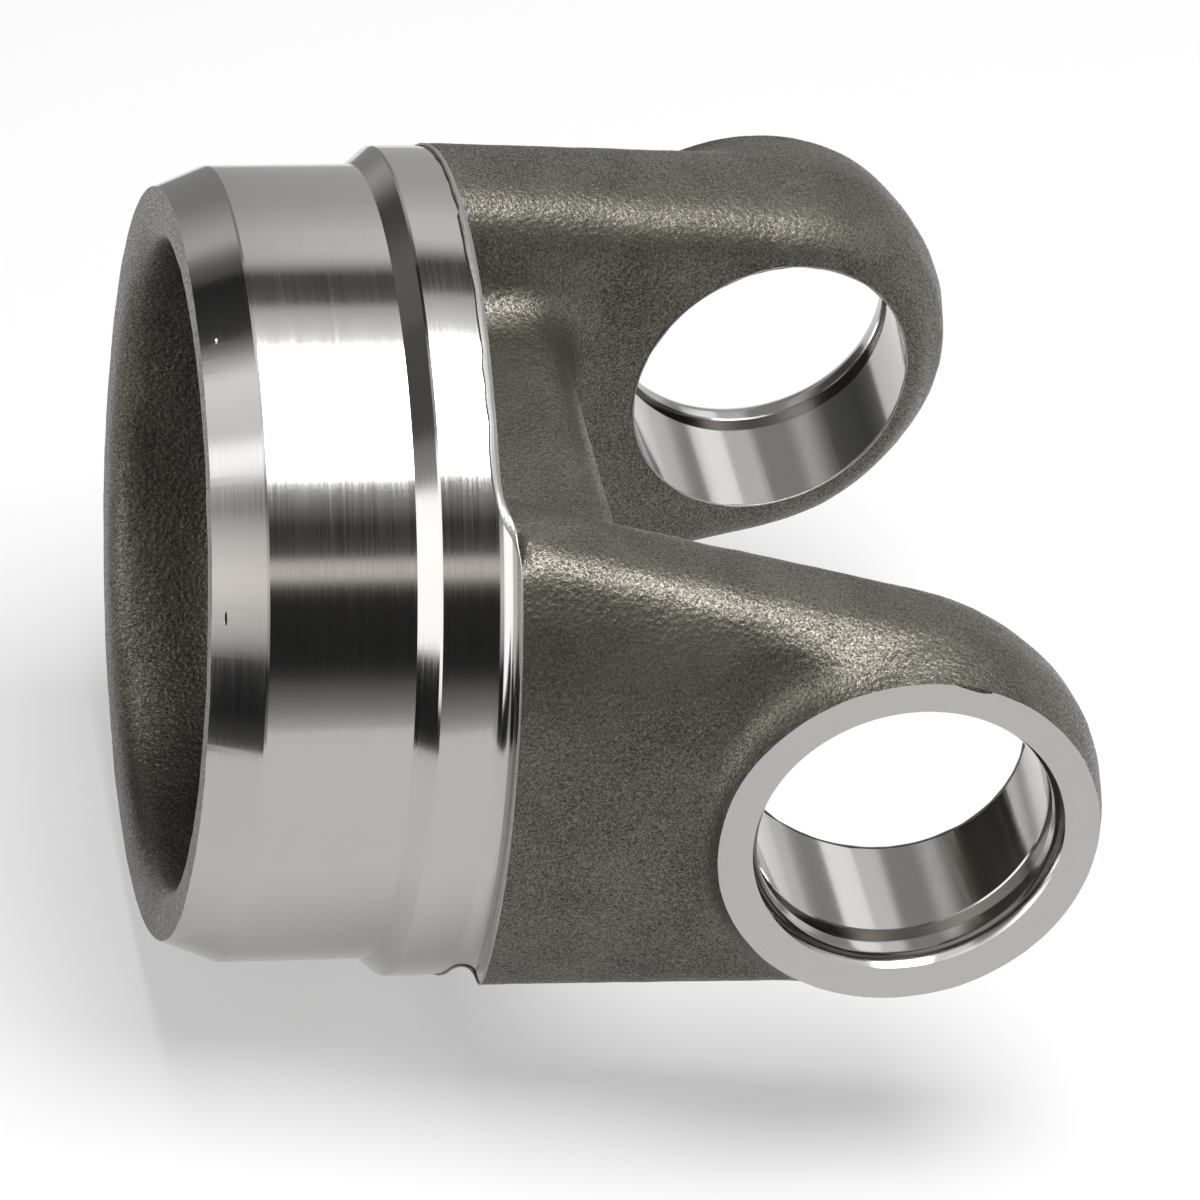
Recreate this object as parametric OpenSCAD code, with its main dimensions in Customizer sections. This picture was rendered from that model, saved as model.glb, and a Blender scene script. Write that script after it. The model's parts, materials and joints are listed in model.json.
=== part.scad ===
// Forged yoke for the end of a driveshaft tube.
// The blank is drop forged in one piece, then turned, bored and faced.
// X runs along the tube from its seat towards the two ears, Y along the cross bore, Z is up.
// The origin is where the two axes cross. All sizes are in millimetres.

/* [Tube seat] */
// Diameter of the turned seat that the tube is pushed onto
seat_d = 72.9; // [68:0.1:76]
// Length of the seat along the tube
seat_l = 13.3; // [8:0.1:20]
// Length of the lead-in bevel at the open end
lead_in_l = 4.9; // [2:0.1:8]
// Depth of the lead-in bevel, measured on the radius
lead_in_drop = 1.95; // [0.5:0.1:3]
// Diameter of the shoulder that the tube's end is welded against
shoulder_d = 76.2; // [74:0.1:80]
// Length of the slope between the seat and the shoulder
weld_bevel_l = 1.9; // [0.5:0.1:3]
// Distance from the cross bore's axis to the shoulder
centre_to_shoulder = 42.0; // [40:0.1:50]
// Length of the shoulder up to the undercut
shoulder_l = 3.6; // [2.5:0.1:4.5]

/* [Undercut] */
// Depth of the undercut between the shoulder and the forging, on the radius
undercut_drop = 0.22; // [0.1:0.01:0.5]
// Length of the slope from the shoulder into the undercut
undercut_lead_l = 1.0; // [0.5:0.1:1.2]
// Length of the undercut up to the tool's own radius
undercut_l = 0.3; // [0.1:0.1:0.6]
// Radius that the tool leaves where the turned steel ends and the forging begins
tool_r = 1.7; // [1:0.1:2.5]
// Height of the thin lip on the collar's back edge, over the shoulder
lip_h = 0.35; // [0.1:0.05:0.6]
// Width of that lip
lip_w = 0.7; // [0.4:0.1:0.9]

/* [Hollow] */
// Diameter of the forged hollow at its mouth, without the mouth's rounding
hollow_d = 59.4; // [50:0.1:62]
// Depth of the hollow
hollow_depth = 19; // [10:0.5:20]
// Draft of the hollow's wall, in degrees
hollow_draft = 5; // [1:0.5:8]
// Radius between the hollow's wall and its floor
hollow_corner_r = 8; // [3:0.5:12]
// Radius round the hollow's mouth
mouth_edge_r = 0.8; // [0.3:0.1:2]
// Tilt of the end face, which stays as forged, in degrees
end_tilt = 0.5; // [0:0.1:1.5]

/* [Cross bore] */
// Diameter of the bore through both ears
bore_d = 27.0; // [22:0.1:29]
// Distance between the machined faces outside the ears
face_span = 89.9; // [84:0.1:96]
// Depth of the lead-in at each end of the bore
bore_lead_l = 1.35; // [0.5:0.05:2]
// Depth of that lead-in, measured on the radius
bore_lead_drop = 0.5; // [0.2:0.05:1]
// Distance from the machined face to the ring groove
groove_inset = 2.9; // [2.2:0.1:5]
// Width of the ring groove
groove_w = 1.9; // [1:0.1:3]
// Depth of the ring groove, measured on the radius
groove_depth = 1.0; // [0.4:0.1:1.6]

/* [Ears] */
// Radius of the eye around the bore, at the inner face
eye_r = 18.4; // [17:0.1:20]
// How far the eye's middle lies behind the bore's axis
eye_shift = 0.3; // [0:0.1:1]
// Draft of the eye's round end, in degrees, widening towards the outer face
eye_draft = 2.6; // [0:0.1:6]
// Half of the gap between the ears at the bore's axis
half_gap = 27.5; // [24:0.1:30]
// Slope of the inner faces, in degrees, opening towards the ears' tips
gap_slope = 8.8; // [4:0.1:12]
// Draft of the ears' flanks, in degrees, widening towards the outer face
flank_draft = 5.8; // [1:0.1:8]
// Half of each ear's width at its root, at the inner face
root_half_w = 22.7; // [21:0.1:26]
// Distance from the bore's axis to where the root is measured
root_x = 30; // [26:0.5:33]
// Distance from the tube's axis to the ears' outer face at the root
root_out = 41.3; // [39:0.1:43]
// The same distance beside the eye
eye_out = 42.4; // [40:0.1:43]
// How far the outer face falls away at the root, from its middle to its edges
root_crown = 7.3; // [2:0.1:8]
// Rounding of the ears' outer edges
outer_edge_r = 4.0; // [2:0.1:5]
// Rounding of the ears' inner edges
inner_edge_r = 5.0; // [2:0.1:6]

/* [Boss] */
// Radius of the boss at its machined face
boss_r = 17.2; // [16:0.1:19]
// Draft of the boss's side, in degrees
boss_draft = 8; // [3:0.5:15]
// Radius of the sweep from the boss down to the ear
boss_fillet = 3.2; // [2:0.1:5]
// How far the sweep's foot lies below the ear's outer face
boss_sink = 1.0; // [0.5:0.1:2]

/* [Web] */
// Half of the web's height between the ears
web_half_h = 13.0; // [9:0.1:17]
// Distance from the bore's axis to the floor of the gap
gap_floor_x = 21.5; // [18:0.1:26]
// Radius in the corners of the gap's floor
floor_corner_r = 6.5; // [3:0.1:9]
// Radius where the web meets the ears
web_fillet = 4.5; // [2:0.1:6]
// Length of the nose that slopes from the web's faces to the floor of the gap
nose_l = 2.6; // [0.5:0.1:4]
// Angle of the nose, in degrees
nose_slope = 40; // [20:1:60]

/* [Collar] */
// How far the forged collar stands over the turned shoulder, on the radius
collar_over = 0.2; // [0.1:0.05:1]
// Distance from the bore's axis to the collar's back face
collar_back = 36.6; // [36:0.1:37]
// How far the forging sits below the machined axes
die_shift = 0.4; // [0:0.05:0.8]
// How far the ears are tilted up at their roots, in degrees
die_tilt = 1.1; // [0:0.1:1.5]

/* [Hidden] */
steel = [0.42, 0.41, 0.40];
$fn = 96;

// Faces of a hull are flat, so its children take fewer segments
hull_fn = 40;
// Solids that meet run this far into each other
sink = 0.3;
// Length by which a cutter runs past what it cuts
past = 6;
// The ears and the web start this far inside the collar, and the lip's foot lies as deep
root_sink = 1;
// Thickness of a slice that a hull is drawn over
slice = 0.02;

seat_r = seat_d / 2;
shoulder_r = shoulder_d / 2;
collar_r = shoulder_r + collar_over;
bore_r = bore_d / 2;
face_y = face_span / 2;
slope = tan(gap_slope);

// Stations along the tube, from the shoulder towards the seat
shoulder_x = -centre_to_shoulder;
seat_end_x = shoulder_x - weld_bevel_l;
seat_start_x = seat_end_x - seat_l;
end_x = seat_start_x - lead_in_l;
// Stations from the shoulder towards the ears
shoulder_back_x = shoulder_x + shoulder_l;
undercut_x = shoulder_back_x + undercut_lead_l;
tool_x = undercut_x + undercut_l;
undercut_r = shoulder_r - undercut_drop;
tip_x = eye_r + past;
// The eye is wider at its outer face, by its draft
eye_out_r = eye_r + (eye_out - half_gap) * tan(eye_draft);
// Distance from the bore's axis to where the outer face starts to fall towards the root
eye_back_x = eye_shift + eye_out_r - outer_edge_r;

// Distance of an ear's inner face from the tube's axis
function inner_y(x) = half_gap + slope * x;
// Distance of an ear's outer face from the tube's axis, in the middle of its width
function outer_y(x) = root_out + (eye_out - root_out) * (x + root_x) / (root_x - eye_back_x);
// Half width of an ear at its inner face, on the line that touches the eye
function half_w(x) = eye_r + (root_half_w - eye_r) * -x / root_x;
// Radius of the lead-in bevel
function lead_r(x) = seat_r - lead_in_drop * (seat_start_x - x) / lead_in_l;
// Points on an arc about (cy, cz)
function arc(cy, cz, r, from, to, steps) =
    [for (i = [0:steps]) let (a = from + (to - from) * i / steps) [cy + r * cos(a), cz + r * sin(a)]];

// Section of one ear: a crowned outer face, a flat inner face, flanks with draft and rounded edges
module ear_section(y_in, y_out, w) {
    t = tan(flank_draft);
    w_out = w + (y_out - root_crown - y_in) * t;
    crown_r = (pow(w_out, 2) + pow(root_crown, 2)) / (2 * root_crown);
    crown_y = y_out - crown_r;
    // The centre of the outer edge's round lies on a line along the flank and on an arc in the crown
    line_z = w - y_in * t - outer_edge_r / cos(flank_draft);
    qa = 1 + pow(t, 2);
    qb = line_z * t - crown_y;
    qc = pow(crown_y, 2) + pow(line_z, 2) - pow(crown_r - outer_edge_r, 2);
    edge_y = (sqrt(pow(qb, 2) - qa * qc) - qb) / qa;
    edge_z = line_z + edge_y * t;
    lean = atan2(edge_z, edge_y - crown_y);
    inner_z = w + inner_edge_r * (t - 1 / cos(flank_draft));
    upper = concat(
        arc(crown_y, 0, crown_r, 0, lean, 5),
        arc(edge_y, edge_z, outer_edge_r, lean, 90 + flank_draft, 5),
        arc(y_in + inner_edge_r, inner_z, inner_edge_r, 90 + flank_draft, 180, 6)
    );
    polygon(concat(upper, [for (i = [len(upper) - 1:-1:1]) [upper[i][0], -upper[i][1]]]));
}

module ear_slice(x) {
    translate([x, 0, 0])
        rotate([90, 0, 90])
            linear_extrude(slice)
                ear_section(inner_y(x), outer_y(x), half_w(x));
}

// A ring with a rounded rim, lying across Y with its face at y = 0
module rim(r, edge_r) {
    rotate([-90, 0, 0])
        translate([0, 0, edge_r])
            rotate_extrude($fn = hull_fn)
                translate([r - edge_r, 0])
                    circle(edge_r, $fn = 24);
}

// The blade of one ear, from inside the collar to the round of its eye
module ear_blade() {
    hull() {
        ear_slice(-collar_back - root_sink);
        ear_slice(-root_x);
        translate([-eye_shift, inner_y(-eye_shift), 0])
            rotate([0, 0, gap_slope])
                rim(eye_r, inner_edge_r);
        translate([-eye_shift, eye_out, 0])
            mirror([0, 1, 0])
                rim(eye_out_r, outer_edge_r);
    }
}

// Outline of an ear's outer face seen along the bore, which trims the boss
module ear_outline() {
    trim_r = eye_out_r - 2 * sink;
    flank_r = eye_out_r - outer_edge_r / 2;
    widen = root_half_w / eye_r;
    translate([-eye_shift, 0])
        circle(trim_r);
    polygon([
        [-eye_shift, flank_r],
        [-root_x, flank_r * widen],
        [-root_x, -flank_r * widen],
        [-eye_shift, -flank_r]
    ]);
}

// The boss swells from the ear's outer face to the machined face, and its sweep dives into the ear
module boss() {
    foot_r = boss_r + (face_y - eye_out) * tan(boss_draft);
    sweep_r = foot_r + boss_fillet;
    sweep_y = eye_out - boss_sink + boss_fillet;
    sweep_end = 65;
    end_r = sweep_r - boss_fillet * cos(sweep_end);
    end_y = sweep_y - boss_fillet * sin(sweep_end);
    intersection() {
        rotate([-90, 0, 0])
            rotate_extrude()
                polygon(concat(
                    [[0, half_gap + past], [end_r + past, half_gap + past]],
                    [[end_r + past, end_y - past * tan(90 - sweep_end)]],
                    arc(sweep_r, sweep_y, boss_fillet, 180 + sweep_end, 180, 6),
                    [[boss_r, face_y], [0, face_y]]
                ));
        rotate([90, 0, 0])
            translate([0, 0, -face_y - past])
                linear_extrude(face_y)
                    ear_outline();
    }
}

module ears() {
    for (side = [0, 1])
        mirror([0, side, 0]) {
            ear_blade();
            boss();
        }
}

// The web closes the gap between the ears, with round corners on its floor
module web() {
    reach = inner_y(-gap_floor_x + floor_corner_r) + sink;
    corner_x = -gap_floor_x + floor_corner_r;
    difference() {
        translate([0, 0, -web_half_h - web_fillet])
            linear_extrude(2 * (web_half_h + web_fillet))
                difference() {
                    translate([-collar_back - root_sink, -reach])
                        square([corner_x + collar_back + root_sink, 2 * reach]);
                    gap_outline();
                }
        for (side = [0, 1])
            mirror([0, 0, side])
                web_pocket();
    }
}

// Outline of the gap between the ears, a little inside their faces
module gap_outline() {
    floor_x = -gap_floor_x;
    corner_x = floor_x + floor_corner_r;
    corner_y = inner_y(corner_x) + sink - floor_corner_r;
    translate([floor_x, -corner_y])
        square([past + floor_corner_r, 2 * corner_y]);
    for (y = [-corner_y, corner_y])
        translate([corner_x, y])
            circle(floor_corner_r);
    translate([corner_x, -corner_y - floor_corner_r])
        square([past, 2 * (corner_y + floor_corner_r)]);
}

// Recess above the web, rounded where it meets the ears and the collar, and lower along the nose
module web_pocket() {
    back_x = web_fillet - collar_back - sink;
    nose_x = -gap_floor_x - nose_l + web_fillet * tan(nose_slope / 2);
    low_z = web_half_h + web_fillet;
    pocket_run(back_x, low_z, tip_x, low_z);
    pocket_run(nose_x, low_z, tip_x, low_z - (tip_x - nose_x) * tan(nose_slope));
}

// Straight run of the recess, from one place and height to another
module pocket_run(from_x, from_z, to_x, to_z) {
    hull()
        for (end = [[from_x, from_z], [to_x, to_z]])
            for (side = [-1, 1])
                translate([end[0], side * (inner_y(end[0]) + sink - web_fillet), end[1]]) {
                    sphere(web_fillet, $fn = hull_fn);
                    cylinder(h = collar_r, r = web_fillet, $fn = hull_fn);
                }
}

// Round stock behind the tube's seat, up to the collar's back face
module collar() {
    rotate([0, 90, 0])
        translate([0, 0, end_x - root_sink])
            cylinder(h = root_sink - collar_back - end_x, r = collar_r + die_shift);
}

// What the die presses into the tube's end: the hollow, its rounded mouth and the face around it
module hollow() {
    t = tan(hollow_draft);
    floor_r = hollow_d / 2 - hollow_depth * t;
    corner_r = floor_r - hollow_corner_r;
    corner_x = end_x + hollow_depth - hollow_corner_r;
    mouth_r = hollow_d / 2 + mouth_edge_r * (1 / cos(hollow_draft) - t);
    translate([end_x, 0, 0])
        rotate([0, 90 + end_tilt, 0])
            translate([0, 0, -end_x])
                rotate_extrude()
                    union() {
                        polygon(concat(
                            [[0, end_x - past], [shoulder_r, end_x - past], [shoulder_r, end_x]],
                            arc(mouth_r, end_x + mouth_edge_r, mouth_edge_r, -90, hollow_draft - 180, 6),
                            [[floor_r + hollow_corner_r * t, corner_x], [0, corner_x]]
                        ));
                        translate([0, corner_x - sink])
                            square([corner_r, hollow_corner_r + sink]);
                        intersection() {
                            translate([corner_r, corner_x])
                                circle(hollow_corner_r);
                            translate([0, corner_x - sink])
                                square([floor_r + past, hollow_corner_r + sink]);
                        }
                    }
}

// Everything that the turning tool takes off, as a half section turned about the tube's axis
module turning() {
    clear_r = root_out + 3 * past;
    rotate([0, 90, 0])
        rotate_extrude()
            polygon(concat(
                [
                    [clear_r, end_x - past],
                    [lead_r(end_x - past), end_x - past],
                    [seat_r, seat_start_x],
                    [seat_r, seat_end_x],
                    [shoulder_r, shoulder_x],
                    [shoulder_r, shoulder_back_x],
                    [undercut_r, undercut_x]
                ],
                arc(undercut_r + tool_r, tool_x, tool_r, -180, -270, 8),
                [[clear_r, tool_x + tool_r]]
            ));
}

// The thin lip left on the collar's back edge, above and below the ears
module lip() {
    lip_r = shoulder_r + lip_h;
    foot_r = undercut_r - root_sink;
    crest_w = 0.6 * lip_w;
    difference() {
        rotate([0, 90, 0])
            rotate_extrude()
                polygon([
                    [foot_r, -collar_back - lip_w],
                    [undercut_r, -collar_back - lip_w],
                    [lip_r, -collar_back - crest_w],
                    [lip_r, -collar_back],
                    [foot_r, -collar_back]
                ]);
        cube([3 * centre_to_shoulder, 3 * shoulder_r, 2 * half_w(-collar_back)], center = true);
    }
}

// The cross bore with its lead-ins, and the ring groove near each end
module bore_cut() {
    half = [
        [0, 0],
        [bore_r, 0],
        [bore_r, face_y - groove_inset - groove_w],
        [bore_r + groove_depth, face_y - groove_inset - groove_w],
        [bore_r + groove_depth, face_y - groove_inset],
        [bore_r, face_y - groove_inset],
        [bore_r, face_y - bore_lead_l],
        [bore_r + bore_lead_drop, face_y],
        [bore_r + bore_lead_drop, face_y + past],
        [0, face_y + past]
    ];
    for (side = [0, 1])
        mirror([0, side, 0])
            rotate([-90, 0, 0])
                rotate_extrude()
                    polygon(half);
}

module yoke() {
    color(steel)
        difference() {
            union() {
                difference() {
                    translate([0, 0, -die_shift])
                        union() {
                            rotate([0, die_tilt, 0])
                                ears();
                            web();
                            collar();
                        }
                    turning();
                }
                lip();
            }
            bore_cut();
            hollow();
        }
}

yoke();
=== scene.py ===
import json
import math

import bmesh
import bpy
from mathutils import Matrix, Vector, noise


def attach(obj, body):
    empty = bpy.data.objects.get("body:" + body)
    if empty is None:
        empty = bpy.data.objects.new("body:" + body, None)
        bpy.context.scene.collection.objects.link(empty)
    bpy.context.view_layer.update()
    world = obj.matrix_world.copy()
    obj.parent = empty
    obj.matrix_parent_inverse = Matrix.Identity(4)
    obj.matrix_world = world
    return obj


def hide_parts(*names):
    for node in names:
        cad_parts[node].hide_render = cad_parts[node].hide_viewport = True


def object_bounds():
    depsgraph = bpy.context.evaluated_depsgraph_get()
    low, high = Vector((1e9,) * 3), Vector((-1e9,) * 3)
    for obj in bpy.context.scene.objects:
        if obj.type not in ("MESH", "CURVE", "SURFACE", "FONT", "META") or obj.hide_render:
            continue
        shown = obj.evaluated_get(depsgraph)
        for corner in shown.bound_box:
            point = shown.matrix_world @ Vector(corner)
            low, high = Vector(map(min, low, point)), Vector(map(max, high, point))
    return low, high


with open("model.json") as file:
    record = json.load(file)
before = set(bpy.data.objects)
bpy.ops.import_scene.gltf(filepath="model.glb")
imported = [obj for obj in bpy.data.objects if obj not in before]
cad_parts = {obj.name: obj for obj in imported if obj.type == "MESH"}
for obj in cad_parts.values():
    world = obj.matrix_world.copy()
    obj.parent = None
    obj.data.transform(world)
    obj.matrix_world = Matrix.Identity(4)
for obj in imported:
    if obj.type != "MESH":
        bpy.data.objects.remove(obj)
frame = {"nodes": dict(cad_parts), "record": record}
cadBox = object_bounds()
mm = 0.001
tiny = 1e-6
mounts = {mount["name"]: mount for mount in frame["record"]["mounts"]}
print("Frame loaded")


# Camera, at the photograph's viewing angle: places in millimetres, clipping distances in metres
cameraView = {
    "place": (-195.15, -777.69, 543.99),
    "aim": (-20.36, 0, -4.846),
    "roll": 6.229,
    "lens": 314.17,
    "sensor": 36,
    "nearest": 0.05,
    "farthest": 20,
}


def addCamera(view):
    data = bpy.data.cameras.new("productCamera")
    data.lens = view["lens"]
    data.sensor_width = view["sensor"]
    data.clip_start = view["nearest"]
    data.clip_end = view["farthest"]
    camera = bpy.data.objects.new("productCamera", data)
    place = Vector(view["place"]) * mm
    look = Vector(view["aim"]) * mm - place
    level = look.to_track_quat("-Z", "Y").to_matrix().to_4x4()
    turn = Matrix.Rotation(math.radians(view["roll"]), 4, "Z")
    camera.matrix_world = Matrix.Translation(place) @ level @ turn
    bpy.context.scene.collection.objects.link(camera)
    bpy.context.scene.camera = camera


addCamera(cameraView)
scene = bpy.context.scene
scene.view_settings.view_transform = "Standard"
print("Camera placed")


# Small helpers for node trees
def newMaterial(name):
    material = bpy.data.materials.new(name)
    material.use_nodes = True
    material.node_tree.nodes.clear()
    return material, material.node_tree.nodes, material.node_tree.links


def addNode(nodes, kind, settings=None, values=None):
    node = nodes.new(kind)
    for key, value in (settings or {}).items():
        setattr(node, key, value)
    for key, value in (values or {}).items():
        node.inputs[key].default_value = value
    return node


def finishMaterial(nodes, links, shader):
    output = addNode(nodes, "ShaderNodeOutputMaterial")
    links.new(shader, output.inputs["Surface"])


def mathNode(nodes, links, operation, first, second=None, clamp=False):
    node = nodes.new("ShaderNodeMath")
    node.operation = operation
    node.use_clamp = clamp
    for index, value in enumerate((first, second)):
        if value is None:
            continue
        if isinstance(value, (int, float)):
            node.inputs[index].default_value = value
        else:
            links.new(value, node.inputs[index])
    return node.outputs[0]


def rangeNode(nodes, links, source, given, wanted=(0, 1), kind="LINEAR"):
    # given: the source's lowest and highest value; wanted: what they become
    node = addNode(nodes, "ShaderNodeMapRange", {"interpolation_type": kind})
    links.new(source, node.inputs["Value"])
    for name, value in zip(("From Min", "From Max", "To Min", "To Max"), tuple(given) + tuple(wanted)):
        node.inputs[name].default_value = value
    return node.outputs[0]


def grey(level, warmth=0.0):
    return (level * (1 + warmth), level, level * (1 - warmth), 1)


# Studio: a softbox overhead, a shell of pale and dark walls round the tube's axis, and a white floor.
# Angles go round that axis, from the camera's side (0) over the top (90) to the back (180).
# Sizes and places are in metres. Each wall has the X where it starts to take over from the one
# before, the X where it has, and its levels as (angle, level).
studio = {
    "softboxFrom": 58.5,
    "softboxTo": 96.5,
    "softboxDistance": 0.7,
    "softboxXFrom": -0.13,
    "softboxXTo": 0.29,
    "softboxLevel": 10.5,
    "shellRadius": 0.9,
    "shellHalfLength": 1.1,
    "shellFrom": -75,
    "shellTo": 200,
    "shellSteps": 55,
    "frontWalls": [
        (None, None, [
            (-75, 0.6), (-60, 0.8), (-16, 0.85), (-11, 0.64), (-7, 0.38), (-2, 0.22), (3, 0.06),
            (7, 0.03), (25, 0.03), (28, 0.1), (31, 1.0), (34.5, 1.0), (36.5, 0.12), (41, 0.07),
            (45, 0.04), (49, 0.17), (53, 0.3), (57, 0.5), (97.5, 1.5), (101, 1.3), (105, 1.05),
            (111, 0.75), (113.5, 0.15), (124, 0.09), (127, 0.5), (130, 0.9),
        ]),
        (-0.18, -0.30, [
            (-75, 0.5), (-40, 0.5), (-30, 0.4), (-24, 0.1), (-12, 0.02), (4, 0.012), (9, 0.5),
            (14, 0.75), (30, 1.15), (42, 0.8), (52, 0.22), (58, 0.5), (64, 2.1), (70, 2.3),
            (75, 1.2), (94, 1.5), (102, 0.5), (108, 0.07), (128, 0.03),
        ]),
        (-0.62, -0.80, [
            (-75, 0.5), (-52, 0.45), (-47, 0.015), (-14, 0.015), (-9, 2.2), (68, 2.3), (74, 0.5),
            (90, 0.35), (95, 0.12), (128, 0.12),
        ]),
    ],
    "backWalls": [
        (None, None, [
            (130, 0.9), (133, 1.1), (142, 1.05), (150, 0.85), (160, 0.68), (180, 0.57), (200, 0.5),
        ]),
        (0.10, 0.02, [(130, 0.4), (150, 0.4), (170, 0.35), (200, 0.3)]),
        (-0.18, -0.30, [(130, 0.05), (136, 0.25), (144, 0.8), (158, 0.6), (200, 0.45)]),
        (-0.30, -0.50, [(130, 0.2), (150, 0.22), (160, 0.12), (180, 0.08), (200, 0.2)]),
        (0.25, 0.28, [(130, 1.4), (156, 1.6), (160, 1.2), (168, 0.5), (200, 0.5)]),
        (0.49, 0.52, [(130, 0.6), (150, 0.42), (164, 0.38), (171, 0.5), (177, 0.85), (200, 0.85)]),
    ],
    "backFrom": 129.5,
    "capWalls": [
        (None, None, [
            (-75, 0.5), (-52, 0.45), (-47, 0.015), (-14, 0.015), (-9, 2.3), (68, 2.4), (74, 0.5),
            (90, 0.35), (95, 0.12), (130, 0.14), (138, 0.4), (200, 0.5),
        ]),
    ],
    "capCentreLevel": 2.3,
    "capCentreFrom": 0.34,
    "capCentreTo": 0.24,
    "tanFrom": 28,
    "tanTo": 36,
    "tanWarmth": 0.06,
    "worldLevel": 0.3,
    "floorCentre": (0.06, -0.01),
    "floorHalf": (0.2, 0.23),
    "floorSides": 96,
    "floorDrop": 0.0002,
    "floorAlbedo": 0.37,
    "floorGlow": 0.45,
}


def addSoftbox(values):
    low, high = math.radians(values["softboxFrom"]), math.radians(values["softboxTo"])
    middle, half = (low + high) / 2, (high - low) / 2
    reach = values["softboxDistance"]
    lamp = bpy.data.lights.new("overheadSoftbox", "AREA")
    lamp.shape = "RECTANGLE"
    lamp.size = values["softboxXTo"] - values["softboxXFrom"]
    lamp.size_y = 2 * reach * math.tan(half)
    lamp.energy = values["softboxLevel"] * 4 * lamp.size * lamp.size_y
    holder = bpy.data.objects.new("overheadSoftbox", lamp)
    away = Vector((0, -math.cos(middle), math.sin(middle)))
    centre = (values["softboxXFrom"] + values["softboxXTo"]) / 2
    turn = Matrix((Vector((1, 0, 0)), away.cross(Vector((1, 0, 0))), away)).transposed()
    place = Matrix.Translation(away * reach + Vector((centre, 0, 0)))
    holder.matrix_world = place @ turn.to_4x4()
    scene.collection.objects.link(holder)


def turnShare(degrees):
    # Where an angle lies on the ramps, which run from -90 degrees all the way round
    return (degrees + 90) / 360


def fillRamp(ramp, stops):
    while len(ramp.elements) > 1:
        ramp.elements.remove(ramp.elements[0])
    ramp.elements[0].position = stops[0][0]
    ramp.elements[0].color = stops[0][1]
    for place, colour in stops[1:]:
        ramp.elements.new(place).color = colour


def takeOver(nodes, links, source, start, end):
    # Rises smoothly from 0 at the start to 1 at the end, whichever is higher
    share = rangeNode(nodes, links, source, (min(start, end), max(start, end)), kind="SMOOTHSTEP")
    if start > end:
        return mathNode(nodes, links, "SUBTRACT", 1.0, share)
    return share


def mixed(nodes, links, first, second, share):
    mix = addNode(nodes, "ShaderNodeMix", {"data_type": "RGBA"})
    links.new(share, mix.inputs["Factor"])
    for socket, value in ((mix.inputs[6], first), (mix.inputs[7], second)):
        if isinstance(value, tuple):
            socket.default_value = value
        else:
            links.new(value, socket)
    return mix.outputs[2]


def blendWalls(nodes, links, values, walls, share, where):
    # Each list takes over from the last one between its two places along X
    colour = None
    for start, end, levels in walls:
        ramp = addNode(nodes, "ShaderNodeValToRGB")
        stops = []
        for degrees, level in levels:
            warmth = values["tanWarmth"] if values["tanFrom"] < degrees < values["tanTo"] else 0
            stops.append((turnShare(degrees), grey(level, warmth)))
        fillRamp(ramp.color_ramp, stops)
        links.new(share, ramp.inputs[0])
        if start is None:
            colour = ramp.outputs["Color"]
            continue
        taken = takeOver(nodes, links, where, start, end)
        colour = mixed(nodes, links, colour, ramp.outputs["Color"], taken)
    return colour


def addWallMaterial(values, isCap):
    # The brightness follows the angle round the tube's axis
    material, nodes, links = newMaterial("studioWall")
    coordinates = addNode(nodes, "ShaderNodeTexCoord")
    parts = addNode(nodes, "ShaderNodeSeparateXYZ")
    links.new(coordinates.outputs["Object"], parts.inputs[0])
    x, y, z = parts.outputs[0], parts.outputs[1], parts.outputs[2]
    angle = mathNode(nodes, links, "ARCTAN2", z, mathNode(nodes, links, "MULTIPLY", y, -1))
    fromBelow = mathNode(nodes, links, "ADD", angle, math.pi / 2)
    wrapped = mathNode(nodes, links, "WRAP", fromBelow, 2 * math.pi)
    wrapped.node.inputs[2].default_value = 0
    share = mathNode(nodes, links, "DIVIDE", wrapped, 2 * math.pi)
    if isCap:
        colour = blendWalls(nodes, links, values, values["capWalls"], share, x)
        squares = mathNode(nodes, links, "ADD", mathNode(nodes, links, "MULTIPLY", y, y),
                           mathNode(nodes, links, "MULTIPLY", z, z))
        radius = mathNode(nodes, links, "SQRT", squares)
        inner = takeOver(nodes, links, radius, values["capCentreFrom"], values["capCentreTo"])
        colour = mixed(nodes, links, colour, grey(values["capCentreLevel"]), inner)
    else:
        front = blendWalls(nodes, links, values, values["frontWalls"], share, x)
        back = blendWalls(nodes, links, values, values["backWalls"], share, x)
        isBack = mathNode(nodes, links, "GREATER_THAN", share, turnShare(values["backFrom"]))
        colour = mixed(nodes, links, front, back, isBack)
    glow = addNode(nodes, "ShaderNodeEmission")
    links.new(colour, glow.inputs["Color"])
    finishMaterial(nodes, links, glow.outputs[0])
    return material


def addWall(name, points, faces, material):
    mesh = bpy.data.meshes.new(name)
    mesh.from_pydata(points, [], faces)
    mesh.materials.append(material)
    wall = bpy.data.objects.new(name, mesh)
    scene.collection.objects.link(wall)
    wall.visible_camera = False
    wall.visible_shadow = False
    wall.visible_diffuse = False


def addShell(values):
    radius, half = values["shellRadius"], values["shellHalfLength"]
    start, end = values["shellFrom"], values["shellTo"]
    steps = values["shellSteps"]
    points, faces, edge = [], [], []
    for step in range(steps + 1):
        angle = math.radians(start + (end - start) * step / steps)
        for x in (-half, half):
            points.append((x, -radius * math.cos(angle), radius * math.sin(angle)))
        edge.append(points[-2])
    for step in range(steps):
        faces.append((2 * step, 2 * step + 1, 2 * step + 3, 2 * step + 2))
    addWall("studioShell", points, faces, addWallMaterial(values, False))
    addWall("studioEnd", edge, [tuple(range(len(edge)))], addWallMaterial(values, True))


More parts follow.
